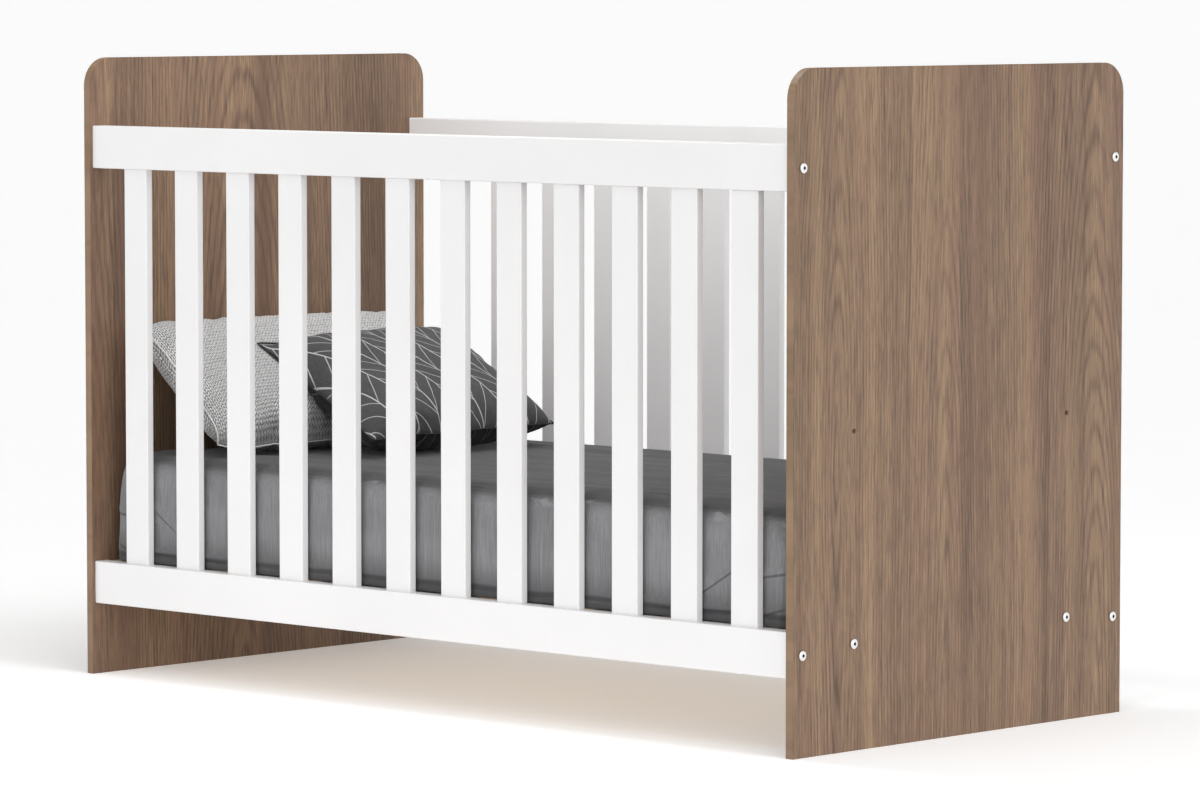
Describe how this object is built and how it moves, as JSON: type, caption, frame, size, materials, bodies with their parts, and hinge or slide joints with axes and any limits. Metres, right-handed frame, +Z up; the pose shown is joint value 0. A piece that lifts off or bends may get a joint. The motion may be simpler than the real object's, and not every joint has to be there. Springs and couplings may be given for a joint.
{
  "type": "baby crib",
  "caption": "Baby crib with flat wood-grain end panels, fixed white slatted sides, a height-adjustable slatted base, a grey mattress and loose cushions.",
  "frame": {"origin": "on the floor, under the middle of the crib's length and depth", "axes": "+X along the crib's length, from the end with the cushions to the other end; -Y is the front; +Z is up"},
  "size_m": [1.3452, 0.665, 0.875],
  "materials": {
    "walnut_laminate": "satin wood-grain laminate with matching edge band",
    "white_lacquer": "satin white lacquer on wood",
    "zinc_fastener": "bright zinc-plated steel",
    "brass_insert": "machined brass",
    "beech_base": "plain sanded beech",
    "grey_sheet": "brushed grey jersey fitted sheet",
    "white_knit": "pale grey knitted cover",
    "charcoal_leaf_print": "charcoal cotton with a pale line print"
  },
  "bodies": {
    "frame": {"left_end_panel": "walnut_laminate", "right_end_panel": "walnut_laminate", "front_top_rail": "white_lacquer", "front_bottom_rail": "white_lacquer", "back_top_rail": "white_lacquer", "back_bottom_rail": "white_lacquer", "front_slat_01": "white_lacquer", "front_slat_02": "white_lacquer", "front_slat_03": "white_lacquer", "front_slat_04": "white_lacquer", "front_slat_05": "white_lacquer", "front_slat_06": "white_lacquer", "front_slat_07": "white_lacquer", "front_slat_08": "white_lacquer", "front_slat_09": "white_lacquer", "front_slat_10": "white_lacquer", "front_slat_11": "white_lacquer", "front_slat_12": "white_lacquer", "back_slat_01": "white_lacquer", "back_slat_02": "white_lacquer", "back_slat_03": "white_lacquer", "back_slat_04": "white_lacquer", "back_slat_05": "white_lacquer", "back_slat_06": "white_lacquer", "back_slat_07": "white_lacquer", "back_slat_08": "white_lacquer", "back_slat_09": "white_lacquer", "back_slat_10": "white_lacquer", "back_slat_11": "white_lacquer", "back_slat_12": "white_lacquer", "left_front_bottom_rail_screw": "zinc_fastener", "left_front_top_rail_screw": "zinc_fastener", "left_back_bottom_rail_screw": "zinc_fastener", "left_back_top_rail_screw": "zinc_fastener", "right_front_bottom_rail_screw": "zinc_fastener", "right_front_top_rail_screw": "zinc_fastener", "right_back_bottom_rail_screw": "zinc_fastener", "right_back_top_rail_screw": "zinc_fastener", "left_front_base_bolt": "zinc_fastener", "left_back_base_bolt": "zinc_fastener", "right_front_base_bolt": "zinc_fastener", "right_back_base_bolt": "zinc_fastener"},
    "mattress_base": {"base_left_rail": "beech_base", "base_right_rail": "beech_base", "base_front_rail": "beech_base", "base_back_rail": "beech_base", "base_slat_01": "beech_base", "base_slat_02": "beech_base", "base_slat_03": "beech_base", "base_slat_04": "beech_base", "base_slat_05": "beech_base", "base_slat_06": "beech_base", "base_slat_07": "beech_base", "left_front_base_insert": "brass_insert", "left_back_base_insert": "brass_insert", "right_front_base_insert": "brass_insert", "right_back_base_insert": "brass_insert"},
    "mattress": {"mattress": "grey_sheet"},
    "white_cushion": {"white_cushion": "white_knit"},
    "dark_cushion": {"dark_cushion": "charcoal_leaf_print"}
  },
  "joints": [
    {"name": "base_height", "type": "slide", "parent": "frame", "child": "mattress_base", "axis": [0, 0, 1], "range_m": [0, 0.273]},
    {"name": "mattress_lift", "type": "slide", "parent": "mattress_base", "child": "mattress", "axis": [0, 0, 1], "range_m": [0, 0.74]},
    {"name": "white_cushion_lift", "type": "slide", "parent": "mattress", "child": "white_cushion", "axis": [0, 0, 1], "range_m": [0, 0.6]},
    {"name": "dark_cushion_lift", "type": "slide", "parent": "white_cushion", "child": "dark_cushion", "axis": [0, 0, 1], "range_m": [0, 0.6]}
  ]
}
